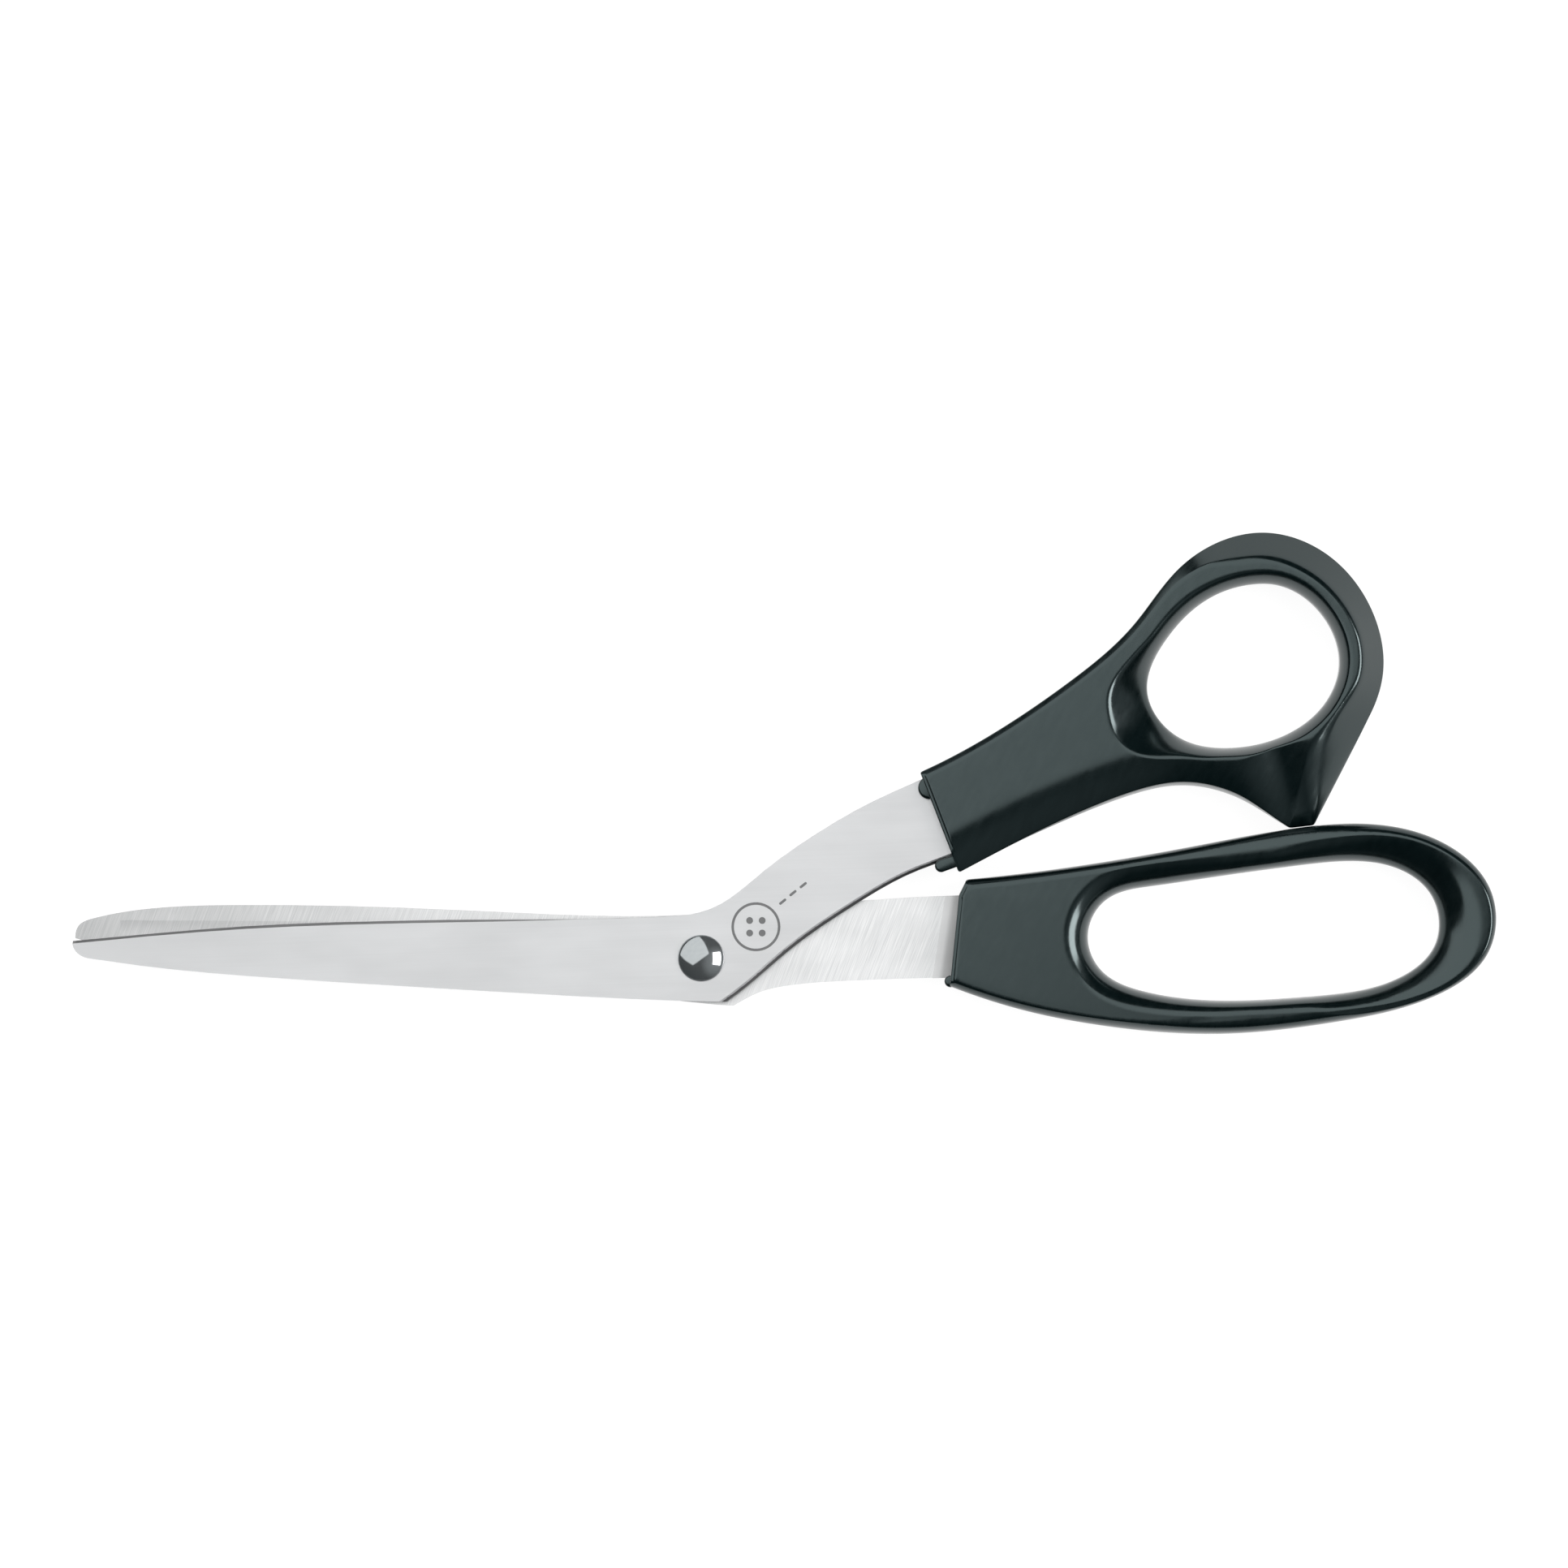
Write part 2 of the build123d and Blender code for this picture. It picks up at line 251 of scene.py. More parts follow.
class Profile(Stops):
    """How a side rises from its edge.

    The values are its width, its height at the edge, a roundness, an end slope and a blend.  A
    roundness of 2 is an ellipse.  An end slope of 1 is a plain slope, and 0 meets the face flat.
    The blend rounds the line where the side meets the face.
    """

    def trim(self, height, gap, bearing):
        """The height over the face, cut down by this side at that gap from its edge."""
        width, edge, power, slope, blend = self.at(bearing)
        u = gap / width
        curve = (1 - (1 - np.clip(u, 0, 1)) ** power) ** (1 / power)
        side = edge + (TOP - edge) * (slope * u + (1 - slope) * curve)
        return smaller(side, height, blend)


def quarter_drop(gap, radius):
    """How far a quarter round lies under its top at this gap from its foot."""
    short = np.clip(1 - gap / radius, 0, 1)
    return radius * (1 - np.sqrt(1 - short**2))


def smaller(a, b, blend):
    """The smaller of two heights, with their crossing rounded over blend."""
    share = np.clip(0.5 + 0.5 * (b - a) / blend, 0, 1)
    return b + (a - b) * share - blend * share * (1 - share)


# Rows of points beside the outline and the hole, as shares of the side's width there
ROWS = [0, .012, .04, .085, .145, .22, .3, .39, .48, .57, .66, .75, .82, .88, .92, .95, .975, 1.0,
        1.025, 1.05, 1.08, 1.12, 1.17, 1.24, 1.33]
UNDER_ROWS = [0, .03, .1, .22, .4, .65, 1.0]
ROW_SLACK = 0.01                            # how much nearer a row may come to its loop
GRID = 0.45                                 # the points between the rows
UNDER_GRID = 4 * GRID
RIM_GAP = 0.008                             # no point is nearer than this to a rim
POINT_MERGE = 1e-5
UNDER_ROUND = 1.2
UNDER_EDGE = 2.6                            # height of the lowest widest line round the outside
UNDER_HOLE_EDGE = 2.0                       # and round the hole
MOUTH_REACH = 0.25                          # an edge this near to the mouth belongs to it
LIP_ROUNDS = (0.32, 0.42)                   # the two small steps round a mouth, from its edge
LIP_LEDGE = 0.22
LIP_BLEND = 0.1


class Handle:
    """A moulded handle: its outline and its bow's hole, and the heights over them.

    The outline is cut from the CAD node at level.  The mouth is a line of points from the pivot.
    The face rolls down towards the sides between the two roll_bearings, and roll holds how far
    that reaches, its slope at the side, and a power.
    """

    def __init__(self, node, level, mouth, outer, inner, roll_bearings, roll):
        loops = sorted(section_loops(node, level), key=lambda loop: -np.ptp(loop[:, 0]))
        self.outline = round_loop(loops[0])
        self.hole = round_loop(loops[1])
        self.middle = (self.hole.max(0) + self.hole.min(0)) / 2
        self.outer, self.inner = outer, inner
        self.roll = roll
        starts, ends = self.outline, np.roll(self.outline, -1, 0)
        self.mouth_ends = np.array(mouth) + PIVOT[:2]
        centres = (starts + ends) / 2
        at_mouth = distance(centres, self.mouth_ends[:-1], self.mouth_ends[1:]) < MOUTH_REACH
        self.sides = starts[~at_mouth], ends[~at_mouth]
        low, high = roll_bearings
        bearing = self.bearing(centres)
        rolled = (bearing > low) & (bearing < high) & ~at_mouth
        self.rolled = starts[rolled], ends[rolled]

    def bearing(self, points):
        away = points - self.middle
        return np.degrees(np.arctan2(away[:, 1], away[:, 0])) % 360

    def gaps(self, points):
        """Distances to the sides, the hole and the mouth."""
        return (distance(points, *self.sides),
                distance(points, self.hole, np.roll(self.hole, -1, 0)),
                distance(points, self.mouth_ends[:-1], self.mouth_ends[1:]))

    def top(self, points):
        """Heights of the upper surface.

        smaller() takes a quarter of its blend off two equal heights, which is given back here.
        """
        bearing = self.bearing(points)
        side, hole, mouth = self.gaps(points)
        reach, slope, power = self.roll.at(bearing)
        rolled = np.clip(1 - distance(points, *self.rolled) / reach, 0, 1)
        z = TOP - slope * reach / power * rolled**power
        z = self.outer.trim(z, side, bearing)
        z = self.inner.trim(z, hole, bearing)
        low_round, high_round = LIP_ROUNDS
        lip = (quarter_drop(mouth, low_round)
               + quarter_drop(mouth - low_round - LIP_LEDGE, high_round))
        return smaller(z, TOP - lip, LIP_BLEND) + LIP_BLEND / 4

    def underside(self, points):
        """Heights of the flat underside and its quarter rounds."""
        side, hole, mouth = self.gaps(points)
        outer = np.clip(1 - np.minimum(side, mouth) / UNDER_ROUND, 0, 1)
        inner = np.clip(1 - hole / UNDER_ROUND, 0, 1)
        return np.maximum(UNDER_EDGE * (1 - np.sqrt(1 - outer**2)),
                          UNDER_HOLE_EDGE * (1 - np.sqrt(1 - inner**2)))

    def rows(self, loop, direction, widths, shares):
        """Points beside a loop at these shares of its width, kept where they are in the clear."""
        normals = left_normals(loop) * direction
        starts, ends = loop, np.roll(loop, -1, 0)
        kept = []
        for share in shares[1:]:
            offset = widths * share
            points = loop + normals * offset[:, None]
            kept.append(points[distance(points, starts, ends) > offset - ROW_SLACK])
        return np.concatenate(kept)

    def cover(self, outer_widths, inner_widths, shares, height, grid):
        """Vertices and triangles of the top or the underside."""
        rows = np.concatenate([self.rows(self.outline, 1, outer_widths, shares),
                               self.rows(self.hole, -1, inner_widths, shares)])
        low, high = self.outline.min(0), self.outline.max(0)
        x, y = np.meshgrid(np.arange(low[0], high[0], grid), np.arange(low[1], high[1], grid))
        field = np.stack([x.ravel(), y.ravel()], 1)
        near = np.round(rows / grid).astype(int)
        taken = {(i + a, j + b) for i, j in near.tolist() for a in (-1, 0, 1) for b in (-1, 0, 1)}
        free = [cell not in taken for cell in map(tuple, np.round(field / grid).astype(int).tolist())]
        points = np.concatenate([rows, field[free]])
        points = points[inside(points, self.outline) & ~inside(points, self.hole)]
        edge_gap = np.minimum(distance(points, self.outline, np.roll(self.outline, -1, 0)),
                              distance(points, self.hole, np.roll(self.hole, -1, 0)))
        points = points[edge_gap > RIM_GAP]
        flat = np.concatenate([self.outline, self.hole, points])
        n, m = len(self.outline), len(self.hole)
        rims = ([(i, (i + 1) % n) for i in range(n)]
                + [(n + i, n + (i + 1) % m) for i in range(m)])
        corners = [Vector(p) for p in flat.tolist()]
        made = delaunay_2d_cdt(corners, rims, [], 0, POINT_MERGE, True)
        where = np.array([tuple(v) for v in made[0]])
        triangles = np.array(made[2])
        order = {source: i for i, sources in enumerate(made[3]) for source in sources}
        rim_at = [order[i] for i in range(n + m)]
        # Rim edges with the plastic on their left, and every edge, each as one number
        rim_edges = np.array([[rim_at[a], rim_at[b]] if a < n else [rim_at[b], rim_at[a]]
                              for a, b in rims])
        count = len(where)
        edges = triangles * count + np.roll(triangles, -1, 1)
        at_rim = np.isin(edges, rim_edges @ (count, 1)).any(1)
        past_rim = np.isin(edges, rim_edges @ (1, count)).any(1)
        centres = where[triangles].mean(1)
        within = inside(centres, self.outline) & ~inside(centres, self.hole)
        triangles = triangles[at_rim | within & ~past_rim]
        return np.column_stack([where, height(where)]), triangles, rim_at

    def build(self, name):
        """The closed mesh: the top, the underside, and the walls between their rims."""
        n, m = len(self.outline), len(self.hole)
        outer_widths = self.outer.at(self.bearing(self.outline))[0]
        inner_widths = self.inner.at(self.bearing(self.hole))[0]
        top, top_faces, top_rim = self.cover(outer_widths, inner_widths, ROWS, self.top, GRID)
        under, under_faces, under_rim = self.cover(np.full(n, UNDER_ROUND), np.full(m, UNDER_ROUND),
                                                   UNDER_ROWS, self.underside, UNDER_GRID)
        start = len(top)
        faces = top_faces.tolist() + (under_faces[:, ::-1] + start).tolist()
        for first, count, outward in ((0, n, True), (n, m, False)):
            for i in range(count):
                a, b = first + i, first + (i + 1) % count
                quad = [start + under_rim[a], start + under_rim[b], top_rim[b], top_rim[a]]
                faces.append(quad if outward else quad[::-1])
        return add_mesh(name, np.concatenate([top, under]), faces)


def add_mesh(name, points, faces):
    """A smooth-shaded mesh object from points in millimetres."""
    mesh = bpy.data.meshes.new(name)
    mesh.from_pydata((np.asarray(points) * MM).tolist(), [], faces)
    mesh.validate()
    mesh.update()
    mesh.shade_smooth()
    piece = bpy.data.objects.new(name, mesh)
    bpy.context.scene.collection.objects.link(piece)
    return piece


def capsule(name, start, end, radius, low, high, rounding=0.5, around=48, over=8):
    """An upright rounded pad: a disc, or a slot where start and end differ."""
    start, end = np.array(start) + PIVOT[:2], np.array(end) + PIVOT[:2]
    along = end - start
    bearing = math.atan2(along[1], along[0])
    angles = bearing - math.pi / 2 + np.arange(around) * 2 * math.pi / around
    centre = np.where((np.arange(around) < around // 2)[:, None], end, start)
    spokes = np.stack([np.cos(angles), np.sin(angles)], 1)
    rings = [(radius, low)]
    for turn in np.linspace(0, math.pi / 2, over):
        rings.append((radius - rounding * (1 - math.cos(turn)),
                      high - rounding * (1 - math.sin(turn))))
    points = np.concatenate([np.column_stack([centre + spokes * r, np.full(around, z)])
                             for r, z in rings])
    faces = [[k * around + i, k * around + (i + 1) % around,
              (k + 1) * around + (i + 1) % around, (k + 1) * around + i]
             for k in range(len(rings) - 1) for i in range(around)]
    faces.append(list(range(around))[::-1])
    faces.append([len(points) - around + i for i in range(around)])
    return add_mesh(name, points, faces)


def lathe(name, profile, centre, around=96, sharp_deg=50.0):
    """A turned piece: a closed profile of (radius, height) from the axis round to the axis."""
    points, faces = [(*centre, profile[0][1])], []
    for radius, height in profile[1:-1]:
        points += [(centre[0] + radius * math.cos(turn), centre[1] + radius * math.sin(turn), height)
                   for turn in np.arange(around) * 2 * math.pi / around]
    points.append((*centre, profile[-1][1]))
    last = len(points) - 1
    for i in range(around):
        j = (i + 1) % around
        faces.append((0, 1 + i, 1 + j))
        for ring in range(1, last - around, around):
            faces.append((ring + i, ring + around + i, ring + around + j, ring + j))
        faces.append((last - around + i, last, last - around + j))
    piece = add_mesh(name, points, faces)
    piece.data.set_sharp_from_angle(angle=math.radians(sharp_deg))
    return piece


# ---- the rivet --------------------------------------------------------------------------

def rivet():
    """The riveted pivot: a domed head with an eased rim, its shank, and the peened tail."""
    start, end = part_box("pivot_rivet")
    low, high = start.z / MM, end.z / MM
    head_r = (end.x - start.x) / 2 / MM
    dome_r, rim_round = 6.0, 0.6
    seat = BLADE_FACE + 0.045
    shank_r, tail_r, tail_rise, tail_dome_r = 2.5, 3.4, 1.7, 4.25
    dome_rings, rim_rings, tail_rings = 28, 9, 16

    rim_tilt = math.asin((head_r - rim_round) / (dome_r - rim_round))
    rim_centre = high - dome_r + (dome_r - rim_round) * math.cos(rim_tilt)
    tail_tilt = math.asin(tail_r / tail_dome_r)
    profile = [(dome_r * math.sin(tilt), high - dome_r * (1 - math.cos(tilt)))
               for tilt in np.linspace(0, rim_tilt, dome_rings)]
    profile += [(head_r - rim_round * (1 - math.sin(tilt)), rim_centre + rim_round * math.cos(tilt))
                for tilt in np.linspace(rim_tilt, math.pi / 2, rim_rings)[1:]]
    profile += [(head_r, seat), (shank_r, seat)]
    profile += [(shank_r, low + tail_rise), (tail_r, low + tail_rise)]
    profile += [(tail_dome_r * math.sin(tilt), low + tail_dome_r * (1 - math.cos(tilt)))
                for tilt in np.linspace(tail_tilt, 0, tail_rings)[1:]]
    return lathe("rivet_turned", profile, PIVOT[:2])


# ---- the two handles --------------------------------------------------------------------

def thumb_handle():
    """The thumb's handle: round bow, sloped band, spur, and a deep scoop towards the shank."""
    outer = Profile((216, 1.1, 9.0, 1.6, .8, .25), (180, 1.15, 9.0, 1.6, .9, .25),
                    (150, 1.2, 9.0, 1.6, .9, .25), (133, 1.5, 8.8, 1.6, .9, .25),
                    (120, 2.2, 8.2, 1.5, 1, .3), (111, 2.5, 7.2, 1.5, 1, .4),
                    (102, 3.5, 5.6, 1.5, 1, .8), (91, 4.45, 4.6, 1.5, 1, 1.0),
                    (60, 4.8, 4.0, 1.5, 1, 1.0), (42, 4.55, 3.8, 1.5, 1, 1.0),
                    (14, 3.9, 3.6, 1.5, 1, 1.0), (354, 4.1, 3.6, 1.5, 1, 1.0),
                    (342, 5.0, 3.4, 1.5, 1, 1.0), (330, 5.6, 3.4, 1.5, 1, .9),
                    (318, 6.0, 3.4, 3.0, .88, 1.2), (302, 6.0, 4.0, 3.0, .84, 1.4),
                    (293, 5.8, 4.6, 2.4, .75, 1.0), (286, 1.0, 5.0, 1.8, .3, .4),
                    (270, 1.1, 4.6, 1.7, .4, .4), (240, 1.2, 4.4, 1.7, .4, .4),
                    (224, 1.0, 4.6, 1.7, .4, .4))
    inner = Profile((201, 7.4, 2.4, 3.4, .76, .5), (194, 7.2, 2.4, 3.4, .76, .5),
                    (188, 6.3, 2.6, 3.0, .7, .45), (179, 4.1, 3.2, 2.4, .5, .3),
                    (164, 2.5, 4.6, 1.7, .3, .3), (132, 2.4, 5.0, 1.6, .25, .3),
                    (110, 2.2, 5.4, 1.6, .25, .3), (45, 2.1, 5.6, 1.6, .3, .3),
                    (0, 1.9, 6.0, 1.6, .3, .3), (315, 1.9, 5.4, 1.5, .2, .3),
                    (270, 1.8, 4.6, 1.5, .1, .3), (257, 1.8, 4.4, 1.6, .1, .4),
                    (235, 3.0, 3.6, 1.7, .2, .5), (224, 5.9, 2.8, 2.1, .5, .4),
                    (216, 7.7, 2.4, 2.8, .68, .4), (209, 8.2, 2.4, 3.4, .74, .5))
    roll = Stops((200, 8.0, .60, 2.4), (222, 8.0, .60, 2.4), (238, 7.0, .56, 2.0),
                 (255, 6.6, .50, 1.8), (270, 7.4, .46, 1.7), (280, 10.5, .46, 1.6),
                 (290, 15.0, .52, 1.5), (350, 16.0, .54, 1.5))
    mouth = [(45.2, 15.0), (38.4, 32.6)]
    handle = Handle("thumb_handle", 4.0, mouth, outer, inner, (206, 292), roll)
    return handle.build("thumb_handle_moulding")


def finger_handle():
    """The fingers' handle: long bow with rounded rails, and a scoop at each of its ends."""
    outer = Profile((170, 1.9, 7.4, 2.0, 0, .1), (150, 1.9, 7.2, 2.0, 0, .1),
                    (120, 2.5, 7.2, 2.0, 0, .1), (80, 3.0, 7.2, 2.0, 0, .1),
                    (45, 2.8, 7.2, 2.0, 0, .1), (20, 1.5, 7.6, 2.0, .1, .1),
                    (0, 1.05, 8.0, 2.0, .1, .1), (345, 1.1, 7.6, 2.0, .1, .1),
                    (325, 1.8, 6.0, 2.2, 0, .1), (300, 2.9, 4.6, 2.8, 0, .1),
                    (260, 2.9, 4.6, 2.8, 0, .1), (235, 2.2, 4.4, 2.4, 0, .2),
                    (212, 1.4, 6.6, 1.6, .2, .2), (192, 1.3, 7.6, 1.8, .2, .2))
    inner = Profile((180, 4.7, 4.2, 2.0, 0, .1), (150, 4.6, 4.2, 2.0, 0, .1),
                    (120, 4.1, 4.2, 2.5, 0, .1), (80, 3.7, 4.2, 2.5, 0, .1),
                    (50, 4.8, 4.2, 2.4, .1, .3), (26, 5.8, 4.2, 2.6, .50, .9),
                    (0, 5.8, 4.2, 2.6, .56, 1.0), (342, 5.2, 4.2, 2.6, .50, .9),
                    (325, 4.2, 4.2, 2.3, .2, .4), (305, 2.9, 4.2, 2.3, 0, .1),
                    (260, 2.6, 4.2, 2.3, 0, .1), (225, 3.2, 4.2, 2.2, 0, .1),
                    (205, 4.2, 4.2, 2.0, 0, .1))
    roll = Stops((305, 7.0, 0, 2.0), (322, 7.0, .30, 2.0), (337, 7.0, .34, 2.0),
                 (345, 7.0, .16, 2.0), (353, 7.0, 0, 2.0))
    mouth = [(43.6, -4.95), (45.2, 11.0), (46.6, 13.8)]
    handle = Handle("finger_handle", 6.5, mouth, outer, inner, (0, 360), roll)
    return handle.build("finger_handle_moulding")


# ---- materials --------------------------------------------------------------------------

class Nodes:
    """Short hand for a material's node tree."""

    def __init__(self, name):
        self.material = bpy.data.materials.new(name)
        self.material.use_nodes = True
        self.tree = self.material.node_tree
        self.shader = self.tree.nodes["Principled BSDF"]
        self.coords = self.add("ShaderNodeTexCoord")

    def add(self, kind, inputs=None, **settings):
        node = self.tree.nodes.new(kind)
        for key, value in settings.items():
            setattr(node, key, value)
        for key, value in (inputs or {}).items():
            if isinstance(value, bpy.types.NodeSocket):
                self.tree.links.new(value, node.inputs[key])
            else:
                node.inputs[key].default_value = value
        return node

    def math(self, operation, a, b=0.0):
        """One arithmetic step on two values or sockets."""
        return self.add("ShaderNodeMath", {0: a, 1: b}, operation=operation).outputs[0]

    def laid(self, degrees, size):
        """Texture space laid at an angle in the blades' plane, with features of this size."""
        mapping = self.add("ShaderNodeMapping", {"Vector": self.coords.outputs["Object"],
                                                 "Rotation": (0, 0, math.radians(degrees)),
                                                 "Scale": tuple(c * MM for c in size)},
                           vector_type="TEXTURE")
        return mapping.outputs["Vector"]

    def noise(self, vector, detail=2.0, roughness=0.5):
        """Noise whose features are as large as the vector's own units."""
        return self.add("ShaderNodeTexNoise", {"Vector": vector, "Scale": 1.0, "Detail": detail,
                                               "Roughness": roughness}).outputs["Fac"]

    def ramp(self, value, *stops):
        """Colour or grey by value; each stop is (place, grey or colour)."""
        node = self.add("ShaderNodeValToRGB", {"Fac": value})
        elements = node.color_ramp.elements
        while len(elements) < len(stops):
            elements.new(0.5)
        for element, (place, shade) in zip(elements, stops):
            element.position = place
            element.color = (*shade, 1) if isinstance(shade, tuple) else (shade,) * 3 + (1,)
        return node.outputs["Color"]

    def mix(self, share, a, b):
        """Two colours mixed, from a at 0 to b at 1."""
        node = self.add("ShaderNodeMix", {0: share, 6: a, 7: b}, data_type="RGBA")
        return node.outputs[2]

    def multiply(self, a, b):
        """Two colours multiplied."""
        node = self.add("ShaderNodeMix", {0: 1.0, 6: a, 7: b}, data_type="RGBA",
                        blend_type="MULTIPLY")
        return node.outputs[2]

    def map(self, value, source, target):
        """The value carried linearly from one range to the other, and held at its ends."""
        return self.add("ShaderNodeMapRange", {0: value, 1: source[0], 2: source[1],
                                               3: target[0], 4: target[1]}).outputs[0]

    def bump(self, height, strength, reach):
        """Small relief on the surface, from heights and their reach in mm."""
        node = self.add("ShaderNodeBump", {"Height": height, "Strength": strength,
                                           "Distance": reach * MM})
        self.set(Normal=node.outputs["Normal"])

    def set(self, **inputs):
        """Values or links for the shader's sockets, with _ for the spaces in their names."""
        for key, value in inputs.items():
            socket = self.shader.inputs[key.replace("_", " ")]
            if isinstance(value, bpy.types.NodeSocket):
                self.tree.links.new(value, socket)
            else:
                socket.default_value = value


SATIN_DEG = 2.0                             # direction of the blades' satin lines
GRIND_DEG = 69.0                            # and of the cross-grinding inside
BAND_LEAN = 0.15                            # the band follows the finger handle's mouth
BAND_SPAN = (41.1, 44.2)                    # its two sides, from the pivot
HALF_STEP = 0.06                            # half the mark's depth, and half the band's rise
STEP_EDGE = 0.01                            # the tone changes within this of half a step


def grain(nodes, degrees, long, wide):
    """Fine grinding lines: noise drawn out along one direction."""
    return nodes.noise(nodes.laid(degrees, (long, wide, 3 * wide)), detail=3.0, roughness=0.65)


def blade_steel(name, ground_up, tip_painted_shade, raised, sunk):
    """Stainless steel: satin along the outer face, coarser cross-grinding on the inner one.

    ground_up is 1 where the inner face looks up, else -1.  The raised band keeps its smooth
    finish, with painted shade darkening it towards the handle, and the sunk mark is darkened
    with painted shade.  Both are heights in mm.  The blade also gets painted shade towards its
    tip, and on its bevels and rounded edges.
    """
    nodes = Nodes(name)
    normal = nodes.add("ShaderNodeSeparateXYZ", {0: nodes.coords.outputs["Normal"]})
    place = nodes.add("ShaderNodeSeparateXYZ", {0: nodes.coords.outputs["Object"]})
    inward = nodes.math("MULTIPLY", normal.outputs["Z"], ground_up)
    ground = nodes.math("GREATER_THAN", inward, 0.5)
    satin = grain(nodes, SATIN_DEG, 30.0, 0.32)
    cross = grain(nodes, GRIND_DEG, 8.0, 0.14)
    satin_tone = nodes.ramp(satin, (0.25, (.58, .585, .59)), (0.75, (.61, .615, .62)))
    cross_tone = nodes.ramp(cross, (0.28, (.60, .605, .61)), (0.5, (.715, .72, .72)),
                            (0.72, (.85, .85, .85)))
    raised_side, sunk_side = (((z - STEP_EDGE) * MM, (z + STEP_EDGE) * MM) for z in (raised, sunk))
    smooth = nodes.map(place.outputs["Z"], raised_side, (0, 1))
    to_handle = nodes.math("SUBTRACT", place.outputs["X"],
                           nodes.math("MULTIPLY", place.outputs["Y"], BAND_LEAN))
    band = [(PIVOT[0] + x - BAND_LEAN * PIVOT[1]) * MM for x in BAND_SPAN]
    across_band = nodes.map(to_handle, band, (0, 1))
    # The band's smooth finish, with painted shade that darkens it towards the handle's mouth.
    band_finish_and_shade = nodes.ramp(across_band, (0, .66), (.35, .60), (.6, .40), (1, .30))
    cross_tone = nodes.mix(smooth, cross_tone, band_finish_and_shade)
    tone = nodes.mix(ground, satin_tone, cross_tone)
    # Painted shade: the blade's tone darkens from the pivot towards its tip, down to the share given
    # for the tip.
    along = nodes.map(place.outputs["X"], (cad_low.x, PIVOT[0] * MM), (0, 1))
    tone = nodes.multiply(tone, nodes.ramp(along, (0, tip_painted_shade), (1, 1.0)))
    clouds = nodes.noise(nodes.laid(0, (18, 6, 6)))
    tone = nodes.multiply(tone, nodes.ramp(clouds, (0.3, .92), (0.7, 1.0)))
    # Painted shade: bevels, edge roundings and walls are darkened by how far they tilt away from
    # facing up.
    edges = nodes.ramp(nodes.math("ABSOLUTE", normal.outputs["Z"]),
                       (.1, .60), (.35, .62), (.8, .8), (.97, 1.0))
    # Painted shade: the sunk mark is darkened by its depth below the face, down to 0.30 of the tone.
    mark = nodes.map(place.outputs["Z"], sunk_side, (0.30, 1))
    tone = nodes.multiply(nodes.multiply(tone, edges), nodes.ramp(mark, (0, 0.0), (1, 1.0)))
    lines = nodes.add("ShaderNodeMix", {0: ground, 2: satin, 3: cross}).outputs[0]
    nodes.set(Base_Color=tone, Metallic=1.0, Roughness=nodes.map(lines, (.2, .8), (.34, .44)))
    nodes.bump(lines, 0.12, 0.004)
    return nodes.material


def polished_steel(name, shade, roughness):
    """Polished metal with faint wear marks."""
    nodes = Nodes(name)
    wear = nodes.noise(nodes.laid(30, (1.1, .4, 1.1)), detail=4.0, roughness=0.7)
    tone = nodes.ramp(wear, (0.3, tuple(0.92 * c for c in shade)), (0.7, shade))
    nodes.set(Base_Color=tone, Metallic=0.85,
              Roughness=nodes.map(wear, (.35, .8), (roughness, roughness + 0.06)))
    nodes.bump(wear, 0.10, 0.003)
    return nodes.material


def moulded_plastic(name):
    """Glossy black moulded plastic with a very fine texture and light rub marks."""
    nodes = Nodes(name)
    peel = nodes.noise(nodes.laid(0, (.7, .7, .7)), detail=3.0, roughness=0.6)
    rub = nodes.noise(nodes.laid(62, (4.5, 1.1, 2)), detail=5.0, roughness=0.7)
    tone = nodes.ramp(rub, (0.3, (.0004, .0022, .0024)), (0.8, (.0014, .0042, .0046)))
    nodes.set(Base_Color=tone, Roughness=nodes.map(rub, (.3, .8), (.14, .24)), IOR=1.6,
              Specular_Tint=(.80, 1, 1.01, 1))
    nodes.bump(peel, 0.12, 0.006)
    return nodes.material


def dress(piece, material):
    """Gives a piece this material and no other."""
    piece.data.materials.clear()
    piece.data.materials.append(material)


# ---- stage, light and camera ------------------------------------------------------------

def floor():
    """A large pale table under the shears."""
    size_metres, gap_metres = 4.0, 0.0002
    bpy.ops.mesh.primitive_plane_add(size=size_metres, location=(0, 0, cad_low.z - gap_metres))
    table = bpy.context.object
    table.name = "floor"
    nodes = Nodes("pale_table")
    nodes.set(Base_Color=(.12, .12, .12, 1), Roughness=0.7, Specular_IOR_Level=0.1,
              Emission_Color=(1, 1, 1, 1), Emission_Strength=0.93)
    dress(table, nodes.material)
    table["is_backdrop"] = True


LIGHT_METRES = 1.6                          # how far off the corners are, where their length is 1
OVERHEAD_CORNERS = [(.417, .238, .877), (-.566, -.485, .968), (-.074, .901, .162)]
SIDE_CORNERS = [(1.03, .34, .37), (1.03, -.40, .37), (.74, .34, .86)]


def softbox(name, corners, brightness, colour=(1, 1, 1)):
    """A flat light, given by one corner and its two neighbours, as directions from the pivot."""
    first, along, up = (LIGHT_METRES * Vector(c) for c in corners)
    middle = (along + up) / 2
    x = (along - first).normalized()
    y = (up - first - (up - first).project(x)).normalized()
    z = x.cross(y)
    if z.dot(middle) < 0:
        x, z = -x, -z
    light = bpy.data.lights.new(name, "AREA")
    light.shape = "RECTANGLE"
    light.size, light.size_y = (along - first).length, (up - first).length
    light.energy = brightness * light.size * light.size_y * math.pi
    light.color = colour
    lamp = bpy.data.objects.new(name, light)
    pivot = Vector(PIVOT * MM)
    rotation = Matrix((x, y, z)).transposed().to_4x4()
    lamp.matrix_world = Matrix.Translation(middle + pivot) @ rotation
    lamp.visible_camera = False
    bpy.context.scene.collection.objects.link(lamp)


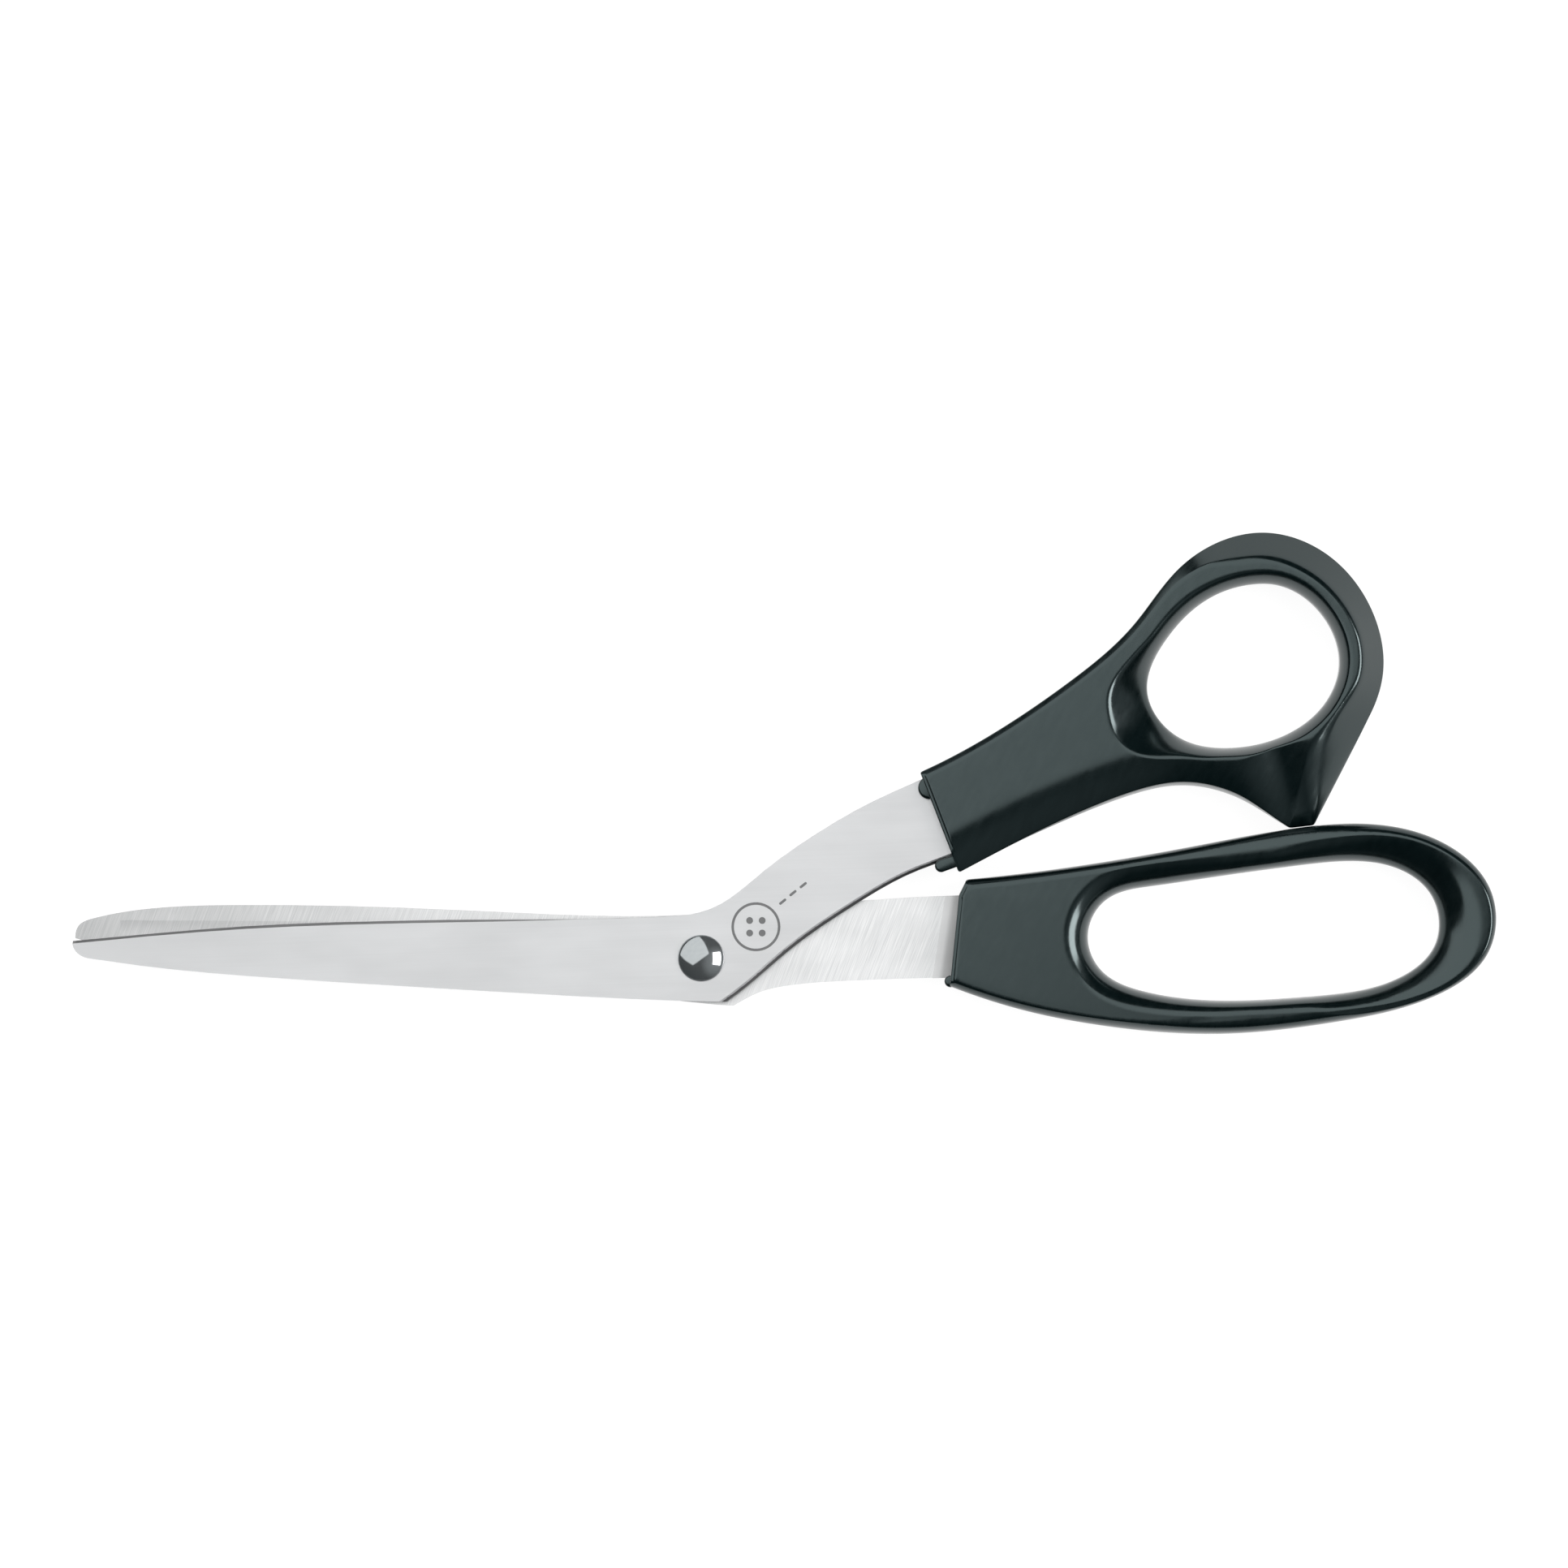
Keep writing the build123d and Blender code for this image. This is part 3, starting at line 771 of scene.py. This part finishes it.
def world():
    """A dark studio with a soft glow at one side, and pale where the camera looks past the table."""
    dark, glowing, pale = (.035, .045, .048, 1), (.38, .40, .41, 1), (.93, .93, .93, 1)
    glow_toward, glow_edge = (.75, -.22, .60), .56
    sky = bpy.data.worlds.new("studio")
    sky.use_nodes = True
    tree = sky.node_tree
    toward = tree.nodes.new("ShaderNodeTexCoord").outputs["Generated"]
    dot = tree.nodes.new("ShaderNodeVectorMath")
    dot.operation = "DOT_PRODUCT"
    dot.inputs[1].default_value = Vector(glow_toward).normalized()
    tree.links.new(toward, dot.inputs[0])
    glow = tree.nodes.new("ShaderNodeMapRange")
    glow.interpolation_type = "SMOOTHSTEP"
    glow.inputs["From Min"].default_value = glow_edge
    tree.links.new(dot.outputs["Value"], glow.inputs[0])
    studio = tree.nodes.new("ShaderNodeMix")
    studio.data_type = "RGBA"
    studio.inputs[6].default_value = dark
    studio.inputs[7].default_value = glowing
    tree.links.new(glow.outputs[0], studio.inputs[0])
    seen = tree.nodes.new("ShaderNodeLightPath")
    shade = tree.nodes.new("ShaderNodeMix")
    shade.data_type = "RGBA"
    shade.inputs[7].default_value = pale
    tree.links.new(studio.outputs[2], shade.inputs[6])
    tree.links.new(seen.outputs["Is Camera Ray"], shade.inputs[0])
    tree.links.new(shade.outputs[2], tree.nodes["Background"].inputs["Color"])
    bpy.context.scene.world = sky


def camera():
    """Straight above the shears, far off.  Lengths are in metres, and the sensor's in mm."""
    height, view_width, sight, sensor = 3.0, 0.2751, 20.0, 36.0
    aim_x, aim_y = -0.00005, -0.00012
    data = bpy.data.cameras.new("camera")
    data.sensor_width = sensor
    data.lens = sensor * height / view_width
    data.clip_end = sight
    eye = bpy.data.objects.new("camera", data)
    eye.location = (aim_x, aim_y, BLADE_FACE * MM + height)
    bpy.context.scene.collection.objects.link(eye)
    bpy.context.scene.camera = eye


camera()
world()
floor()
softbox("overhead_box", OVERHEAD_CORNERS, 1.8)
softbox("side_box", SIDE_CORNERS, 9.4, colour=(1, .95, .95))
bpy.context.scene.view_settings.view_transform = "Standard"

plastic = moulded_plastic("black_plastic")
for build, body, node in ((thumb_handle, "thumb_side", "thumb_handle"),
                          (finger_handle, "finger_side", "finger_handle")):
    handle = build()
    dress(handle, plastic)
    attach(handle, body)
    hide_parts(node)

# Small pads that show from under the mouths: (start, end) from the pivot, radius, low and high
for name, body, ends, radius, low, high in (
        ("thumb_mouth_ear", "thumb_side", ((40.1, 29.9), (40.1, 29.9)), 2.05, 7.0, 8.12),
        ("thumb_mouth_nub", "thumb_side", ((42.1, 16.16), (44.5, 17.04)), 1.1, 5.0, 8.07),
        ("finger_mouth_ear", "finger_side", ((43.75, -4.1), (43.75, -4.1)), 1.05, 2.8, 5.87)):
    pad = capsule(name, *ends, radius, low, high)
    dress(pad, plastic)
    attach(pad, body)

turned = rivet()
dress(turned, polished_steel("rivet_chrome", (.31, .33, .335), 0.08))
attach(turned, "finger_side")
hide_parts("pivot_rivet")

NO_BAND, NO_MARK = 100.0, -100.0            # heights past all of the blades
mark_height = BLADE_FACE - HALF_STEP
band_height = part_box("rear_blade")[1].z / MM - HALF_STEP
dress(frame["nodes"]["front_blade"],
      blade_steel("front_blade_steel", -1.0, .85, NO_BAND, mark_height))
dress(frame["nodes"]["rear_blade"],
      blade_steel("rear_blade_steel", 1.0, .60, band_height, NO_MARK))
dress(frame["nodes"]["rear_washer"], polished_steel("washer_steel", (.62, .63, .64), 0.3))

low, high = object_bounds()
